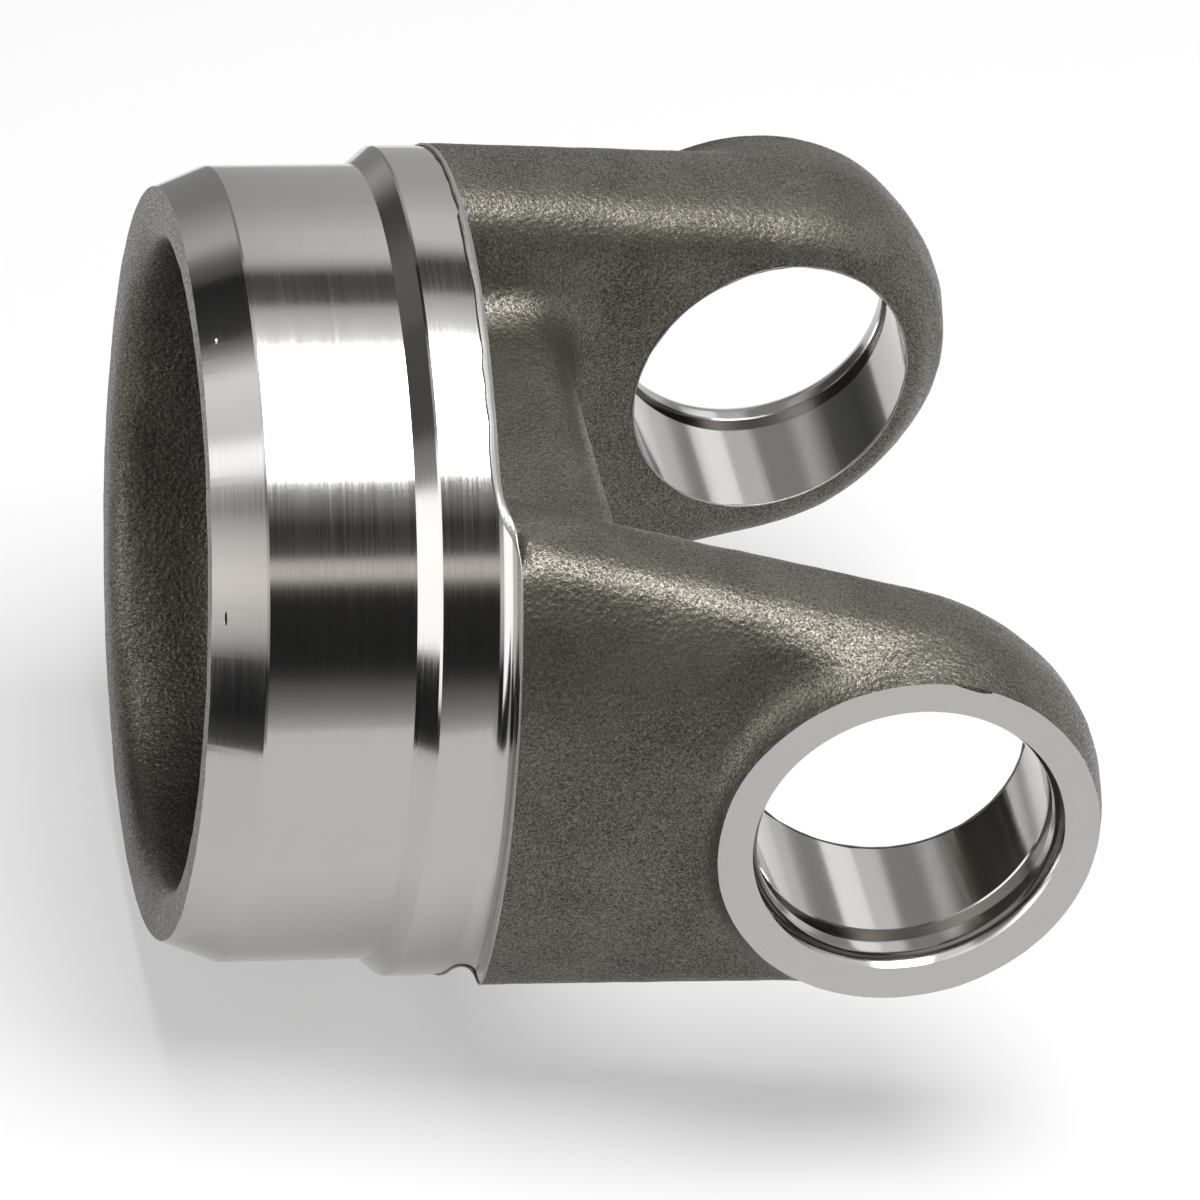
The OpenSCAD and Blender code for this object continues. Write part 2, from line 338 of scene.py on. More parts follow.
def seenRays(nodes, links):
    # 1 for what the camera sees, straight or by way of metal or glass
    path = addNode(nodes, "ShaderNodeLightPath")
    glossy, passing = path.outputs["Is Glossy Ray"], path.outputs["Is Transmission Ray"]
    shiny = mathNode(nodes, links, "ADD", glossy, passing)
    return mathNode(nodes, links, "ADD", path.outputs["Is Camera Ray"], shiny, clamp=True)


def addFloor(values, height):
    mesh = bpy.data.meshes.new("studioFloor")
    sides = values["floorSides"]
    centre, half = values["floorCentre"], values["floorHalf"]
    edge = []
    for step in range(sides):
        angle = 2 * math.pi * step / sides
        x = centre[0] + half[0] * math.cos(angle)
        y = centre[1] + half[1] * math.sin(angle)
        edge.append((x, y, height))
    mesh.from_pydata(edge, [], [tuple(range(sides))])
    floor = bpy.data.objects.new("studioFloor", mesh)
    scene.collection.objects.link(floor)
    material, nodes, links = newMaterial("studioFloor")
    paper = addNode(nodes, "ShaderNodeBsdfDiffuse", values={"Color": grey(values["floorAlbedo"])})
    glow = addNode(nodes, "ShaderNodeEmission")
    strength = mathNode(nodes, links, "MULTIPLY", seenRays(nodes, links), values["floorGlow"])
    links.new(strength, glow.inputs["Strength"])
    both = addNode(nodes, "ShaderNodeAddShader")
    links.new(paper.outputs[0], both.inputs[0])
    links.new(glow.outputs[0], both.inputs[1])
    finishMaterial(nodes, links, both.outputs[0])
    mesh.materials.append(material)


def addWorld(values):
    world = bpy.data.worlds.new("studioWorld")
    scene.world = world
    world.use_nodes = True
    nodes, links = world.node_tree.nodes, world.node_tree.links
    nodes.clear()
    mix = addNode(nodes, "ShaderNodeMixShader")
    links.new(seenRays(nodes, links), mix.inputs[0])
    for index, strength in ((1, values["worldLevel"]), (2, 1)):
        white = addNode(nodes, "ShaderNodeBackground", values={"Color": grey(1), "Strength": strength})
        links.new(white.outputs[0], mix.inputs[index])
    output = addNode(nodes, "ShaderNodeOutputWorld")
    links.new(mix.outputs[0], output.inputs["Surface"])


addSoftbox(studio)
addShell(studio)
addFloor(studio, cadBox[0][2] - studio["floorDrop"])
addWorld(studio)
print("Studio built")


# Helpers for the metals; sizes and depths in millimetres
def millimetres(nodes, links):
    coordinates = addNode(nodes, "ShaderNodeTexCoord")
    scaled = addNode(nodes, "ShaderNodeMapping", values={"Scale": (1 / mm, 1 / mm, 1 / mm)})
    links.new(coordinates.outputs["Object"], scaled.inputs["Vector"])
    return scaled.outputs[0]


def noiseNode(nodes, links, place, size, detail, roughness=0.5):
    texture = addNode(nodes, "ShaderNodeTexNoise",
                      values={"Scale": 1 / size, "Detail": detail, "Roughness": roughness})
    links.new(place, texture.inputs["Vector"])
    return texture.outputs["Fac"]


def bumpNode(nodes, links, height, depth, under=None):
    bump = addNode(nodes, "ShaderNodeBump", values={"Strength": 1, "Distance": depth * mm})
    links.new(height, bump.inputs["Height"])
    if under is not None:
        links.new(under, bump.inputs["Normal"])
    return bump.outputs[0]


# Forged skin: dark scale with a shot-blasted grain
forgedLook = {
    "dark": (0.033, 0.030, 0.023, 1),
    "pale": (0.158, 0.149, 0.126, 1),
    "metallic": 0.78,
    "roughness": (0.20, 0.56),
    "patchSize": 7.0,
    "patchShare": 0.18,
    "toneSpread": (0.38, 0.62),
    "grainSize": 0.21,
    "grainSpread": (0.35, 0.65),
    "grainDepth": 0.06,
    "dimpleSize": 0.5,
    "dimpleSmoothness": 0.4,
    "dimpleDepth": 0.055,
}


def forgedMaterial(look):
    material, nodes, links = newMaterial("forgedSteel")
    place = millimetres(nodes, links)
    patch = noiseNode(nodes, links, place, look["patchSize"], 3, 0.6)
    grain = noiseNode(nodes, links, place, look["grainSize"], 4, 0.62)
    dimple = addNode(nodes, "ShaderNodeTexVoronoi", {"feature": "SMOOTH_F1"},
                     {"Scale": 1 / look["dimpleSize"], "Smoothness": look["dimpleSmoothness"]})
    links.new(place, dimple.inputs["Vector"])
    broad = mathNode(nodes, links, "MULTIPLY", patch, look["patchShare"])
    fine = mathNode(nodes, links, "MULTIPLY", grain, 1 - look["patchShare"])
    tone = rangeNode(nodes, links, mathNode(nodes, links, "ADD", broad, fine), look["toneSpread"])
    # The grain's peaks are rubbed smoother than its pits
    smooth, coarse = look["roughness"]
    rough = rangeNode(nodes, links, grain, look["grainSpread"], (coarse, smooth))
    dimples = bumpNode(nodes, links, dimple.outputs["Distance"], look["dimpleDepth"])
    grains = bumpNode(nodes, links, grain, look["grainDepth"], dimples)
    skin = addNode(nodes, "ShaderNodeBsdfPrincipled", values={"Metallic": look["metallic"]})
    links.new(mixed(nodes, links, look["dark"], look["pale"], tone), skin.inputs["Base Color"])
    links.new(rough, skin.inputs["Roughness"])
    links.new(grains, skin.inputs["Normal"])
    finishMaterial(nodes, links, skin.outputs[0])
    return material


# Machined steel: bright, with the tool's fine marks running round an axis
turnedLook = {
    "name": "turnedSteel",
    "axis": "X",
    "colour": (0.425, 0.416, 0.402, 1),
    "roughness": (0.07, 0.13),
    "brushing": 0.5,
    "markDepth": 0.0005,
    "markSize": 0.16,
}
boredLook = {
    "name": "boredSteel",
    "axis": "Y",
    "colour": (0.44, 0.43, 0.42, 1),
    "roughness": (0.09, 0.15),
    "brushing": 0.4,
    "markDepth": 0.0006,
    "markSize": 0.22,
}
facedLook = {
    "name": "facedSteel",
    "axis": "Y",
    "colour": (0.425, 0.415, 0.403, 1),
    "roughness": (0.20, 0.28),
    "brushing": 0.4,
    "markDepth": 0.0010,
    "markSize": 0.25,
}
toolMarks = {"drift": 2.5, "spread": (0.3, 0.7)}


def machinedMaterial(look, values):
    material, nodes, links = newMaterial(look["name"])
    sideAxis = "Y" if look["axis"] == "X" else "X"
    parts = addNode(nodes, "ShaderNodeSeparateXYZ")
    links.new(millimetres(nodes, links), parts.inputs[0])
    along, side, up = parts.outputs[look["axis"]], parts.outputs[sideAxis], parts.outputs["Z"]
    squares = mathNode(nodes, links, "ADD", mathNode(nodes, links, "MULTIPLY", side, side),
                       mathNode(nodes, links, "MULTIPLY", up, up))
    radius = mathNode(nodes, links, "SQRT", squares)
    # Marks depend on the way across the tool's path and hardly on the angle round the axis
    across = mathNode(nodes, links, "ADD", along, radius)
    lanes = mathNode(nodes, links, "DIVIDE", across, look["markSize"])
    sideTurn = mathNode(nodes, links, "DIVIDE", side, radius)
    upTurn = mathNode(nodes, links, "DIVIDE", up, radius)
    swept = addNode(nodes, "ShaderNodeCombineXYZ")
    links.new(lanes, swept.inputs[0])
    links.new(mathNode(nodes, links, "MULTIPLY", sideTurn, values["drift"]), swept.inputs[1])
    links.new(mathNode(nodes, links, "MULTIPLY", upTurn, values["drift"]), swept.inputs[2])
    marks = noiseNode(nodes, links, swept.outputs[0], 1, 3, 0.6)
    tangent = addNode(nodes, "ShaderNodeCombineXYZ")
    links.new(mathNode(nodes, links, "MULTIPLY", upTurn, -1), tangent.inputs[sideAxis])
    links.new(sideTurn, tangent.inputs["Z"])
    metal = addNode(nodes, "ShaderNodeBsdfPrincipled", values={
        "Metallic": 1, "Base Color": look["colour"], "Anisotropic": look["brushing"],
    })
    rough = rangeNode(nodes, links, marks, values["spread"], look["roughness"])
    links.new(rough, metal.inputs["Roughness"])
    links.new(bumpNode(nodes, links, marks, look["markDepth"]), metal.inputs["Normal"])
    links.new(tangent.outputs[0], metal.inputs["Tangent"])
    finishMaterial(nodes, links, metal.outputs[0])
    return material


# Rubbed steel: the lip's matt bright metal
rubbedLook = {
    "colour": (0.31, 0.30, 0.29, 1),
    "roughness": (0.42, 0.60),
    "grainSize": 0.3,
    "grainSpread": (0.35, 0.65),
    "grainDepth": 0.02,
}


def rubbedMaterial(look):
    material, nodes, links = newMaterial("rubbedSteel")
    grain = noiseNode(nodes, links, millimetres(nodes, links), look["grainSize"], 3)
    metal = addNode(nodes, "ShaderNodeBsdfPrincipled",
                    values={"Metallic": 1, "Base Color": look["colour"]})
    rough = rangeNode(nodes, links, grain, look["grainSpread"], look["roughness"])
    links.new(rough, metal.inputs["Roughness"])
    links.new(bumpNode(nodes, links, grain, look["grainDepth"]), metal.inputs["Normal"])
    finishMaterial(nodes, links, metal.outputs[0])
    return material


forgedSteel = forgedMaterial(forgedLook)
rubbedSteel = rubbedMaterial(rubbedLook)
turnedSteel = machinedMaterial(turnedLook, toolMarks)
boredSteel = machinedMaterial(boredLook, toolMarks)
facedSteel = machinedMaterial(facedLook, toolMarks)
print("Materials made")


# The yoke is made as the real one is: a forged blank, then turned, bored and faced.
# Sizes are in millimetres, and the seat, the bore and the faces are where the frame's mounts are.
seatDims = mounts["tube_seat"]["dims"]
seatMiddle = mounts["tube_seat"]["pos_m"][0] / mm
yoke = {
    "seatRadius": seatDims["r_mm"],
    "seatStart": round(seatMiddle - seatDims["length_mm"] / 2, 3),
    "seatEnd": round(seatMiddle + seatDims["length_mm"] / 2, 3),
    "boreRadius": mounts["cross_bore"]["dims"]["r_mm"],
    "faceY": round(mounts["far_face"]["pos_m"][1] / mm, 3),
    # The turned end, from the open end to the collar's back
    "endX": -62.1,
    "leadInDrop": 1.95,
    "shoulderX": -42.0,
    "shoulderRadius": 38.1,
    "shoulderBack": -38.3,
    "undercutX": -37.2,
    "undercutRadius": 37.98,
    "toolX": -37.1,
    "toolRadius": 1.7,
    "toolSteps": 14,
    "collarBack": -36.6,
    "endTilt": 0.5,
    "hollowRadius": 29.7,
    "edgeBreak": 0.12,
    "clearOver": 12,
    "clearPast": 4,
    "turningSides": 288,
    # The bore through both ears
    "boreLead": 1.8,
    "boreLeadDrop": 0.65,
    "leadAngle": 60,
    "leadSteps": 8,
    "grooveOuter": 42.05,
    "grooveInner": 40.15,
    "grooveDepth": 0.7,
    "facingReach": 11,
    "facingPast": 6,
    "boringSides": 192,
    # Stock that the tools take off
    "stockOver": 3.0,
    "stockWall": 2.5,
    "stockBackWall": 1.6,
    "stockBevel": 0.6,
    "stockSides": 180,
    "rootStockX": -35.0,
    "rootBury": 4,
    "rootRadius": 41.95,
    "rootHalfAngle": 33.5,
    "rootSides": 60,
    "halfGap": 27.5,
    "gapSlope": 8.8,
    "bossRadius": 17.2,
    "bossDraft": 8.0,
    "plugOver": 1.5,
    "plugStep": 0.8,
    "plugPast": 2.4,
    "plugSides": 96,
    # The forged skin
    "voxel": 0.6,
    "softenSteps": 14,
    "webSteps": 14,
    "webY": 30,
    "webZ": 21,
    "webBack": 36.0,
    "webFront": 17.0,
    "webFade": 2.5,
    "swellHeight": 0.10,
    "swellSize": 6.0,
    "grainHeight": 0.05,
    "grainSize": 1.6,
    "seed": 4.0,
    # Shading breaks at edges that are sharper than these angles
    "machinedSharp": 9,
    "forgedSharp": 60,
}


def revolve(name, profile, axis, turns, material, arc=None):
    # profile: closed outline of (along the axis, radius); arc: (from, to) in degrees, or a whole turn
    mesh = bpy.data.meshes.new(name)
    build = bmesh.new()
    whole = arc is None
    start, end = (0, 360) if whole else arc
    rings = turns if whole else turns + 1
    columns = []
    for along, radius in profile:
        if radius < tiny:
            point = (along, 0, 0) if axis == "X" else (0, along, 0)
            columns.append([build.verts.new(Vector(point) * mm)] * rings)
            continue
        ring = []
        for step in range(rings):
            angle = math.radians(start + (end - start) * step / turns)
            side, up = radius * math.cos(angle), radius * math.sin(angle)
            point = (along, side, up) if axis == "X" else (side, along, up)
            ring.append(build.verts.new(Vector(point) * mm))
        columns.append(ring)
    count = len(profile)
    for index in range(count):
        first, second = columns[index], columns[(index + 1) % count]
        for step in range(turns):
            nextStep = (step + 1) % rings
            corners = []
            for vertex in (first[step], second[step], second[nextStep], first[nextStep]):
                if vertex not in corners:
                    corners.append(vertex)
            if len(corners) > 2:
                build.faces.new(corners)
    if not whole:
        build.faces.new([column[0] for column in columns])
        build.faces.new([column[-1] for column in reversed(columns)])
    bmesh.ops.recalc_face_normals(build, faces=build.faces)
    build.to_mesh(mesh)
    build.free()
    mesh.materials.append(material)
    made = bpy.data.objects.new(name, mesh)
    scene.collection.objects.link(made)
    return made


def arcPoints(along, radius, size, start, end, steps):
    turns = [math.radians(start + (end - start) * step / steps) for step in range(steps + 1)]
    return [(along + size * math.sin(turn), radius + size * math.cos(turn)) for turn in turns]


def turningProfile(v):
    # The end face stays as forged, so the lead-in's cone runs on past it
    clear = v["shoulderRadius"] + v["clearOver"]
    chamfer = v["edgeBreak"]
    beyond = v["endX"] - v["clearPast"]
    slope = v["leadInDrop"] / (v["seatStart"] - v["endX"])
    tool = arcPoints(v["toolX"], v["undercutRadius"] + v["toolRadius"], v["toolRadius"],
                     180, 90, v["toolSteps"])
    outline = [
        (beyond, v["seatRadius"] - slope * (v["seatStart"] - beyond)),
        (v["seatStart"] - chamfer, v["seatRadius"] - chamfer * slope),
        (v["seatStart"] + chamfer, v["seatRadius"]),
        (v["seatEnd"], v["seatRadius"]),
        (v["shoulderX"] - chamfer, v["shoulderRadius"] - chamfer),
        (v["shoulderX"] + chamfer, v["shoulderRadius"]),
        (v["shoulderBack"], v["shoulderRadius"]),
        (v["undercutX"], v["undercutRadius"]),
    ]
    return outline + tool + [(v["toolX"] + v["toolRadius"], clear), (beyond, clear)]


def boreProfile(v):
    bore, face, chamfer = v["boreRadius"], v["faceY"], v["edgeBreak"]
    deep = bore + v["grooveDepth"]
    inner, outer = v["grooveInner"], v["grooveOuter"]
    reach, past = bore + v["facingReach"], face + v["facingPast"]
    wall = [(0, 0), (0, bore), (inner - chamfer, bore)]
    groove = [
        (inner, bore + chamfer), (inner, deep), (outer, deep), (outer, bore + chamfer),
        (outer + chamfer, bore),
    ]
    # The mouth is rounded over, from along the bore's wall to the face
    leadIn = []
    whole = 1 - math.cos(math.radians(v["leadAngle"]))
    for step in range(v["leadSteps"] + 1):
        angle = math.radians(v["leadAngle"]) * step / v["leadSteps"]
        share = (1 - math.cos(angle)) / whole
        along = face - v["boreLead"] * (1 - step / v["leadSteps"])
        leadIn.append((along, bore + v["boreLeadDrop"] * share))
    return wall + groove + leadIn + [(face, reach), (past, reach), (past, 0)]


def addCollarStock(v):
    outer = v["shoulderRadius"] + v["stockOver"]
    backWall = v["hollowRadius"] + v["stockBackWall"]
    ring = [
        (v["endX"], v["hollowRadius"] + v["stockWall"]),
        (v["collarBack"] - v["stockBevel"], backWall),
        (v["collarBack"], backWall + v["stockBevel"]),
        (v["collarBack"], outer),
        (v["endX"], outer),
    ]
    collar = revolve("collarStock", ring, "X", v["stockSides"], forgedSteel)
    # The forged end leans a little, as the dies did
    lean = math.tan(math.radians(v["endTilt"]))
    for vertex in collar.data.vertices:
        if abs(vertex.co.x - v["endX"] * mm) < tiny:
            vertex.co.x += lean * vertex.co.z
    return collar


def addRootStock(v, middle):
    # Carries an ear's root out through the path of the turning tool
    start = v["collarBack"] - v["rootBury"]
    ring = [
        (start, v["seatRadius"]), (v["rootStockX"], v["seatRadius"]),
        (v["rootStockX"], v["rootRadius"]), (start, v["rootRadius"]),
    ]
    arc = (middle - v["rootHalfAngle"], middle + v["rootHalfAngle"])
    return revolve("rootStock", ring, "X", v["rootSides"], forgedSteel, arc)


def addBoreStock(v, sign):
    taper = math.tan(math.radians(v["bossDraft"]))
    plug = v["boreRadius"] + v["plugOver"]
    under, over = v["plugStep"], v["plugPast"]
    outline = [
        (v["halfGap"], 0), (v["halfGap"], plug), (v["faceY"] - under, plug),
        (v["faceY"] - under, v["bossRadius"] + under * taper),
        (v["faceY"] + over, v["bossRadius"] - over * taper), (v["faceY"] + over, 0),
    ]
    sided = [(sign * along, radius) for along, radius in outline]
    piece = revolve("boreStock", sided, "Y", v["plugSides"], forgedSteel)
    # The inner end follows the slope of the ear's inner face
    slope = math.tan(math.radians(v["gapSlope"]))
    for vertex in piece.data.vertices:
        if abs(abs(vertex.co.y) - v["halfGap"] * mm) < tiny:
            vertex.co.y = sign * (v["halfGap"] * mm + slope * vertex.co.x)
    return piece


def addStock(v):
    # Metal that the tools will take off again, so that their cuts are crisp
    roots = [addRootStock(v, middle) for middle in (0, 180)]
    return [addCollarStock(v)] + roots + [addBoreStock(v, sign) for sign in (-1, 1)]


def joined(name, pieces):
    build = bmesh.new()
    for piece in pieces:
        build.from_mesh(piece.data)
    mesh = bpy.data.meshes.new(name)
    build.to_mesh(mesh)
    build.free()
    result = bpy.data.objects.new(name, mesh)
    scene.collection.objects.link(result)
    return result


def drop(piece):
    mesh = piece.data
    bpy.data.objects.remove(piece)
    if mesh.users == 0:
        bpy.data.meshes.remove(mesh)


def settled(piece):
    # The evaluated mesh takes the place of the one with live modifiers
    depsgraph = bpy.context.evaluated_depsgraph_get()
    mesh = bpy.data.meshes.new_from_object(piece.evaluated_get(depsgraph))
    piece.modifiers.clear()
    old = piece.data
    piece.data = mesh
    bpy.data.meshes.remove(old)
    return piece


def edgeShare(nodes, links, value, limit, fade):
    # 1 below the limit, falling to 0 over the fade before it
    node = nodes.new("ShaderNodeMapRange")
    links.new(value, node.inputs["Value"])
    links.new(mathNode(nodes, links, "SUBTRACT", limit, fade), node.inputs["From Min"])
    links.new(limit, node.inputs["From Max"])
    node.inputs["To Min"].default_value = 1
    node.inputs["To Max"].default_value = 0
    return node.outputs[0]


def webShare(nodes, links, where, given):
    # 1 in the web between the ears, 0 outside it
    parts = nodes.new("ShaderNodeSeparateXYZ")
    links.new(where, parts.inputs[0])
    fade = given.outputs["Web Fade"]
    share = 1.0
    for axis, limit in ((1, "Web Y"), (2, "Web Z")):
        size = mathNode(nodes, links, "ABSOLUTE", parts.outputs[axis])
        inside = edgeShare(nodes, links, size, given.outputs[limit], fade)
        share = mathNode(nodes, links, "MULTIPLY", share, inside)
    along = mathNode(nodes, links, "MULTIPLY", parts.outputs[0], -1)
    beforeBack = edgeShare(nodes, links, along, given.outputs["Web Back"], fade)
    share = mathNode(nodes, links, "MULTIPLY", share, beforeBack)
    beforeFront = edgeShare(nodes, links, along, given.outputs["Web Front"], fade)
    behindFront = mathNode(nodes, links, "SUBTRACT", 1.0, beforeFront)
    return mathNode(nodes, links, "MULTIPLY", share, behindFront)


def softened(nodes, links, geometry, where, steps, weight=None):
    blur = nodes.new("GeometryNodeBlurAttribute")
    blur.data_type = "FLOAT_VECTOR"
    links.new(where, blur.inputs["Value"])
    links.new(steps, blur.inputs["Iterations"])
    if weight is not None:
        links.new(weight, blur.inputs["Weight"])
    move = nodes.new("GeometryNodeSetPosition")
    links.new(geometry, move.inputs["Geometry"])
    links.new(blur.outputs[0], move.inputs["Position"])
    return move.outputs[0]


def skinHeight(nodes, links, where, given):
    # The swell and grain of the dies
    heights = []
    for size, height, detail in (("Swell Size", "Swell Height", 1), ("Grain Size", "Grain Height", 2)):
        texture = nodes.new("ShaderNodeTexNoise")
        texture.noise_dimensions = "4D"
        texture.inputs["Detail"].default_value = detail
        links.new(where, texture.inputs["Vector"])
        links.new(given.outputs["Seed"], texture.inputs["W"])
        links.new(mathNode(nodes, links, "DIVIDE", 1.0, given.outputs[size]), texture.inputs["Scale"])
        level = mathNode(nodes, links, "SUBTRACT", texture.outputs["Fac"], 0.5)
        double = mathNode(nodes, links, "MULTIPLY", given.outputs[height], 2)
        heights.append(mathNode(nodes, links, "MULTIPLY", level, double))
    return mathNode(nodes, links, "ADD", heights[0], heights[1])


def skinTree(v):
    # Softens the creases of the blank into forged fillets, then adds the swell and grain
    tree = bpy.data.node_groups.new("forgedSkin", "GeometryNodeTree")
    face = tree.interface
    face.new_socket("Geometry", in_out="INPUT", socket_type="NodeSocketGeometry")
    for name, kind, value in (
        ("Soften Steps", "NodeSocketInt", v["softenSteps"]),
        ("Web Steps", "NodeSocketInt", v["webSteps"]),
        ("Web Y", "NodeSocketFloat", v["webY"] * mm),
        ("Web Z", "NodeSocketFloat", v["webZ"] * mm),
        ("Web Back", "NodeSocketFloat", v["webBack"] * mm),
        ("Web Front", "NodeSocketFloat", v["webFront"] * mm),
        ("Web Fade", "NodeSocketFloat", v["webFade"] * mm),
        ("Swell Height", "NodeSocketFloat", v["swellHeight"] * mm),
        ("Swell Size", "NodeSocketFloat", v["swellSize"] * mm),
        ("Grain Height", "NodeSocketFloat", v["grainHeight"] * mm),
        ("Grain Size", "NodeSocketFloat", v["grainSize"] * mm),
        ("Seed", "NodeSocketFloat", v["seed"]),
    ):
        face.new_socket(name, in_out="INPUT", socket_type=kind).default_value = value
    face.new_socket("Skin", in_out="INPUT", socket_type="NodeSocketMaterial")
    face.new_socket("Geometry", in_out="OUTPUT", socket_type="NodeSocketGeometry")
    nodes, links = tree.nodes, tree.links
    given = nodes.new("NodeGroupInput")
    result = nodes.new("NodeGroupOutput")
    where = nodes.new("GeometryNodeInputPosition").outputs[0]
    filleted = softened(nodes, links, given.outputs["Geometry"], where, given.outputs["Soften Steps"])
    inWeb = webShare(nodes, links, where, given)
    rounded = softened(nodes, links, filleted, where, given.outputs["Web Steps"], inWeb)
    normal = nodes.new("GeometryNodeInputNormal")
    push = nodes.new("ShaderNodeVectorMath")
    push.operation = "SCALE"
    links.new(normal.outputs[0], push.inputs[0])
    links.new(skinHeight(nodes, links, where, given), push.inputs["Scale"])
    roughen = nodes.new("GeometryNodeSetPosition")
    links.new(rounded, roughen.inputs["Geometry"])
    links.new(push.outputs[0], roughen.inputs["Offset"])
    realize = nodes.new("GeometryNodeRealizeInstances")
    paint = nodes.new("GeometryNodeSetMaterial")
    links.new(roughen.outputs[0], realize.inputs[0])
    links.new(realize.outputs[0], paint.inputs["Geometry"])
    links.new(given.outputs["Skin"], paint.inputs["Material"])
    links.new(paint.outputs[0], result.inputs["Geometry"])
    return tree


def setInputs(modifier, tree, values):
    for item in tree.interface.items_tree:
        if item.item_type == "SOCKET" and item.in_out == "INPUT" and item.name in values:
            modifier[item.identifier] = values[item.name]


def forgedBlank(v):
    build = bmesh.new()
    build.from_mesh(frame["nodes"]["yoke"].data)
    bmesh.ops.remove_doubles(build, verts=build.verts, dist=tiny)
    mesh = bpy.data.meshes.new("cadCopy")
    build.to_mesh(mesh)
    build.free()
    copy = bpy.data.objects.new("cadCopy", mesh)
    scene.collection.objects.link(copy)
    pieces = [copy] + addStock(v)
    blank = joined("forgedYoke", pieces)
    for piece in pieces:
        drop(piece)
    voxels = blank.modifiers.new("voxels", "REMESH")
    voxels.mode = "VOXEL"
    voxels.voxel_size = v["voxel"] * mm
    tree = skinTree(v)
    skin = blank.modifiers.new("skin", "NODES")
    skin.node_group = tree
    setInputs(skin, tree, {"Skin": forgedSteel})
    settled(blank)
    print("Forged blank", len(blank.data.polygons), "faces")
    return blank


def cut(piece, tool, operation="DIFFERENCE"):
    step = piece.modifiers.new("cut", "BOOLEAN")
    step.operation = operation
    step.solver = "MANIFOLD"
    step.object = tool
    step.material_mode = "TRANSFER"
    settled(piece)
    drop(tool)


def machine(blank, v):
    cut(blank, revolve("turning", turningProfile(v), "X", v["turningSides"], turnedSteel))
    profile = boreProfile(v)
    for sign in (-1, 1):
        sided = [(sign * along, radius) for along, radius in profile]
        tool = revolve("boring", sided, "Y", v["boringSides"], boredSteel)
        tool.data.materials.append(facedSteel)
        for polygon in tool.data.polygons:
            if abs(abs(polygon.center.y) - v["faceY"] * mm) < tiny:
                polygon.material_index = 1
        cut(blank, tool)
    print("Machined", len(blank.data.polygons), "faces", [metal.name for metal in blank.data.materials])


def addSharpEdges(piece, v):
    build = bmesh.new()
    build.from_mesh(piece.data)
    forged = piece.data.materials.find(forgedSteel.name)
    for face in build.faces:
        face.smooth = True
    for edge in build.edges:
        if len(edge.link_faces) != 2:
            continue
        first, second = edge.link_faces
        limit = v["forgedSharp"] if first.material_index == forged else v["machinedSharp"]
        differs = first.material_index != second.material_index
        edge.smooth = not (differs or edge.calc_face_angle(0) > math.radians(limit))
    build.to_mesh(piece.data)
    build.free()


# The deburred lip that the turning left where it ran out into forged skin: broad along the collar's
# upper back edge, thin below and round the ears. lean: which way it hangs off its line, in half widths.
lip = {
    "fromX": -38.5,
    "toX": -30,
    "collarRadius": 38.6,
    "earRadius": 40.8,
    "halfWidth": 0.47,
    "halfHeight": 0.20,
    "extraHeight": 0.2,
    "earShare": 0.23,
    "lowerShare": 0.31,
    "backShare": 0.75,
    "lean": (-0.6, 0, 0),
    "unevenness": 0.25,
    "unevenSize": 2.4,
    "step": 0.5,
    "smoothRounds": 3,
    "sides": 10,
}


# The sharp rim where each bore breaks out through the ear's inner face
rim = {
    "fromY": 20,
    "toY": 36,
    "halfWidth": 0.11,
    "halfHeight": 0.09,
    "extraHeight": 0,
    "lean": (0, 0, 0),
    "unevenness": 0.7,
    "unevenSize": 1.5,
    "step": 0.5,
    "smoothRounds": 1,
    "sides": 6,
}


def runOut(piece, metal, inside):
    # The longest line between a cut and the forged skin, as points and outward directions
    build = bmesh.new()
    build.from_mesh(piece.data)
    metals = {piece.data.materials.find(steel.name) for steel in (metal, forgedSteel)}
    ends, facing = {}, {}
    for edge in build.edges:
        if {face.material_index for face in edge.link_faces} != metals:
            continue
        if not all(inside(vertex.co / mm) for vertex in edge.verts):
            continue
        outward = sum((face.normal for face in edge.link_faces), Vector())
        for vertex, other in (edge.verts, reversed(edge.verts)):
            ends.setdefault(vertex, []).append(other)
            facing[vertex] = facing.get(vertex, Vector()) + outward
    longest = []
    left = set(ends)
    while left:
        vertex = min(left, key=lambda one: one.index)
        line = []
        while vertex is not None:
            line.append(vertex)
            left.discard(vertex)
            vertex = next((other for other in ends[vertex] if other in left), None)
        if len(line) > len(longest):
            longest = line
    found = [(vertex.co / mm, facing[vertex].normalized()) for vertex in longest]
    build.free()
    return found


def evenly(line, step):
    # The closed line again, with points a step apart
    points = [line[0]]
    gone = 0.0
    for (first, firstOut), (second, secondOut) in zip(line, line[1:] + line[:1]):
        length = (second - first).length
        while gone + length >= step:
            share = (step - gone) / length
            first, firstOut = first.lerp(second, share), firstOut.lerp(secondOut, share)
            points.append((first, firstOut))
            length = (second - first).length
            gone = 0.0
        gone += length
    return points[:-1]


def eased(line, rounds):
    # Each point and direction moves towards those beside it
    for _ in range(rounds):
        smooth = []
        for index, middle in enumerate(line):
            before, after = line[index - 1], line[(index + 1) % len(line)]
            smooth.append(tuple((before[part] + middle[part] * 2 + after[part]) / 4 for part in (0, 1)))
        line = smooth
    return line


def lipShare(point, v):
    # How broad the lip is at a place
    radius = math.hypot(point.y, point.z)
    onEar = min(1, max(0, (radius - v["collarRadius"]) / (v["earRadius"] - v["collarRadius"])))
    share = 1 if point.z > 0 else v["lowerShare"]
    if point.y > 0:
        share *= v["backShare"]
    return share * (1 - onEar) + v["earShare"] * onEar


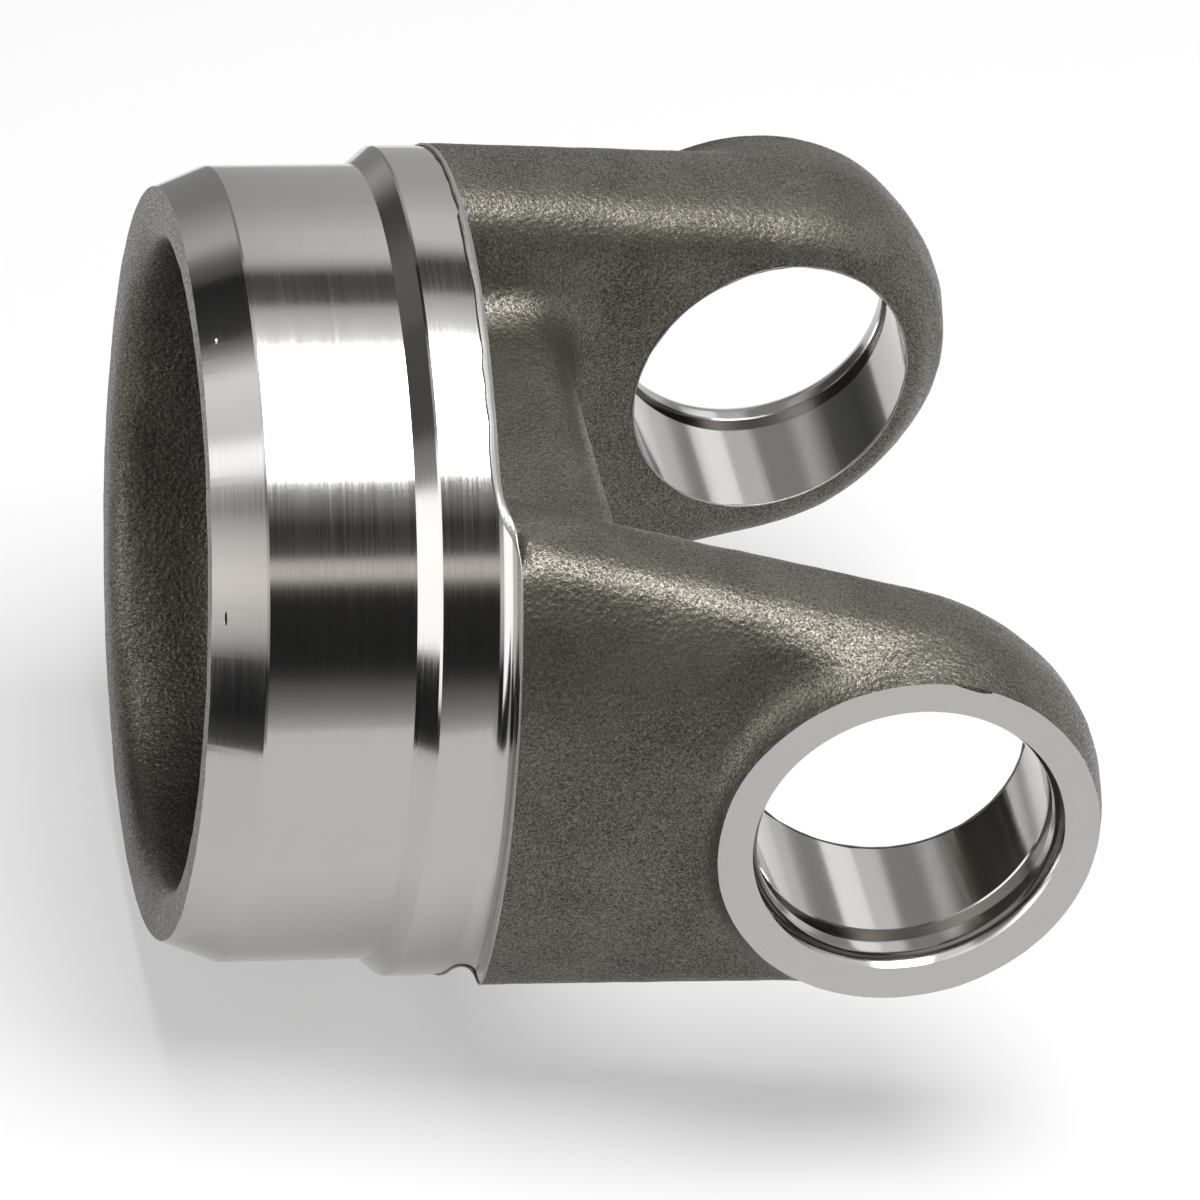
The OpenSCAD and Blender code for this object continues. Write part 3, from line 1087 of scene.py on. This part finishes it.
def addLip(line, v, shareAt):
    line = eased(evenly(line, v["step"]), v["smoothRounds"])
    lean = Vector(v["lean"])
    build = bmesh.new()
    rings = []
    for index, (point, facing) in enumerate(line):
        ahead = (line[(index + 1) % len(line)][0] - line[index - 1][0]).normalized()
        outward = (facing - ahead * facing.dot(ahead)).normalized()
        across = ahead.cross(outward)
        uneven = 1 + v["unevenness"] * noise.noise(point / v["unevenSize"])
        share = shareAt(point)
        width = v["halfWidth"] * share * uneven
        height = v["halfHeight"] * min(1, share + v["extraHeight"]) * uneven
        centre = point + lean * width
        ring = []
        for side in range(v["sides"]):
            turn = 2 * math.pi * side / v["sides"]
            corner = centre + across * (width * math.cos(turn)) + outward * (height * math.sin(turn))
            ring.append(build.verts.new(corner * mm))
        rings.append(ring)
    for first, second in zip(rings, rings[1:] + rings[:1]):
        for side in range(v["sides"]):
            after = (side + 1) % v["sides"]
            build.faces.new((first[side], first[after], second[after], second[side]))
    bmesh.ops.recalc_face_normals(build, faces=build.faces)
    mesh = bpy.data.meshes.new("lip")
    build.to_mesh(mesh)
    build.free()
    mesh.materials.append(rubbedSteel)
    made = bpy.data.objects.new("lip", mesh)
    scene.collection.objects.link(made)
    print("Lip of", len(line), "points")
    return made


# Small knocks on the lead-in's cone: x, angle, size along the edge, size across it.
# Dents where the forged skin dips below a boss's face: x, y, z, and sizes along X, Y and Z.
marks = {
    "nicks": [
        (-60.8, 27, 0.7, 0.3), (-60.4, 69, 0.35, 0.6), (-62.0, 63, 0.4, 0.4), (-61.6, 152, 0.6, 0.4),
    ],
    "nickDepth": 0.04,
    "dents": [(3.4, -44.95, 16.95, 2.4, 0.07, 0.4)],
    "dentSkew": 0.35,
    "unevenness": 0.3,
    "unevenRate": 1.7,
    "subdivisions": 3,
}


def addMark(centre, axes, material, v):
    build = bmesh.new()
    bmesh.ops.create_icosphere(build, subdivisions=v["subdivisions"], radius=1)
    for vertex in build.verts:
        local = vertex.co * (1 + v["unevenness"] * noise.noise(vertex.co * v["unevenRate"] + centre))
        vertex.co = (centre + axes[0] * local.x + axes[1] * local.y + axes[2] * local.z) * mm
    bmesh.ops.recalc_face_normals(build, faces=build.faces)
    mesh = bpy.data.meshes.new("mark")
    build.to_mesh(mesh)
    build.free()
    mesh.materials.append(material)
    made = bpy.data.objects.new("mark", mesh)
    scene.collection.objects.link(made)
    return made


def addMarks(piece, v):
    slope = yoke["leadInDrop"] / (yoke["seatStart"] - yoke["endX"])
    for x, angle, along, across in v["nicks"]:
        turn = math.radians(angle)
        outward = Vector((0, -math.cos(turn), math.sin(turn)))
        sideways = Vector((0, math.sin(turn), math.cos(turn)))
        centre = Vector((x, 0, 0)) + outward * (yoke["seatRadius"] - slope * (yoke["seatStart"] - x))
        axes = (Vector((across, 0, 0)), sideways * along, outward * v["nickDepth"])
        cut(piece, addMark(centre, axes, turnedSteel, v))
    skew = v["dentSkew"]
    for x, y, z, sizeX, sizeY, sizeZ in v["dents"]:
        alongX, alongZ = Vector((sizeX, 0, -skew * sizeX)), Vector((skew * sizeZ, 0, sizeZ))
        axes = (alongX, Vector((0, sizeY, 0)), alongZ)
        cut(piece, addMark(Vector((x, y, z)), axes, forgedSteel, v))


blank = forgedBlank(yoke)
machine(blank, yoke)
lipLine = runOut(blank, turnedSteel, lambda place: lip["fromX"] < place.x < lip["toX"])
cut(blank, addLip(lipLine, lip, lambda place: lipShare(place, lip)), "UNION")
for sign in (-1, 1):
    rimLine = runOut(blank, boredSteel, lambda place: rim["fromY"] < sign * place.y < rim["toY"])
    cut(blank, addLip(rimLine, rim, lambda place: 1), "UNION")
addMarks(blank, marks)
triangles = sum(len(polygon.vertices) - 2 for polygon in blank.data.polygons)
print("Lip and marks made", triangles, "triangles")
addSharpEdges(blank, yoke)
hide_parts("yoke")
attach(blank, "root")
print("Yoke finished")
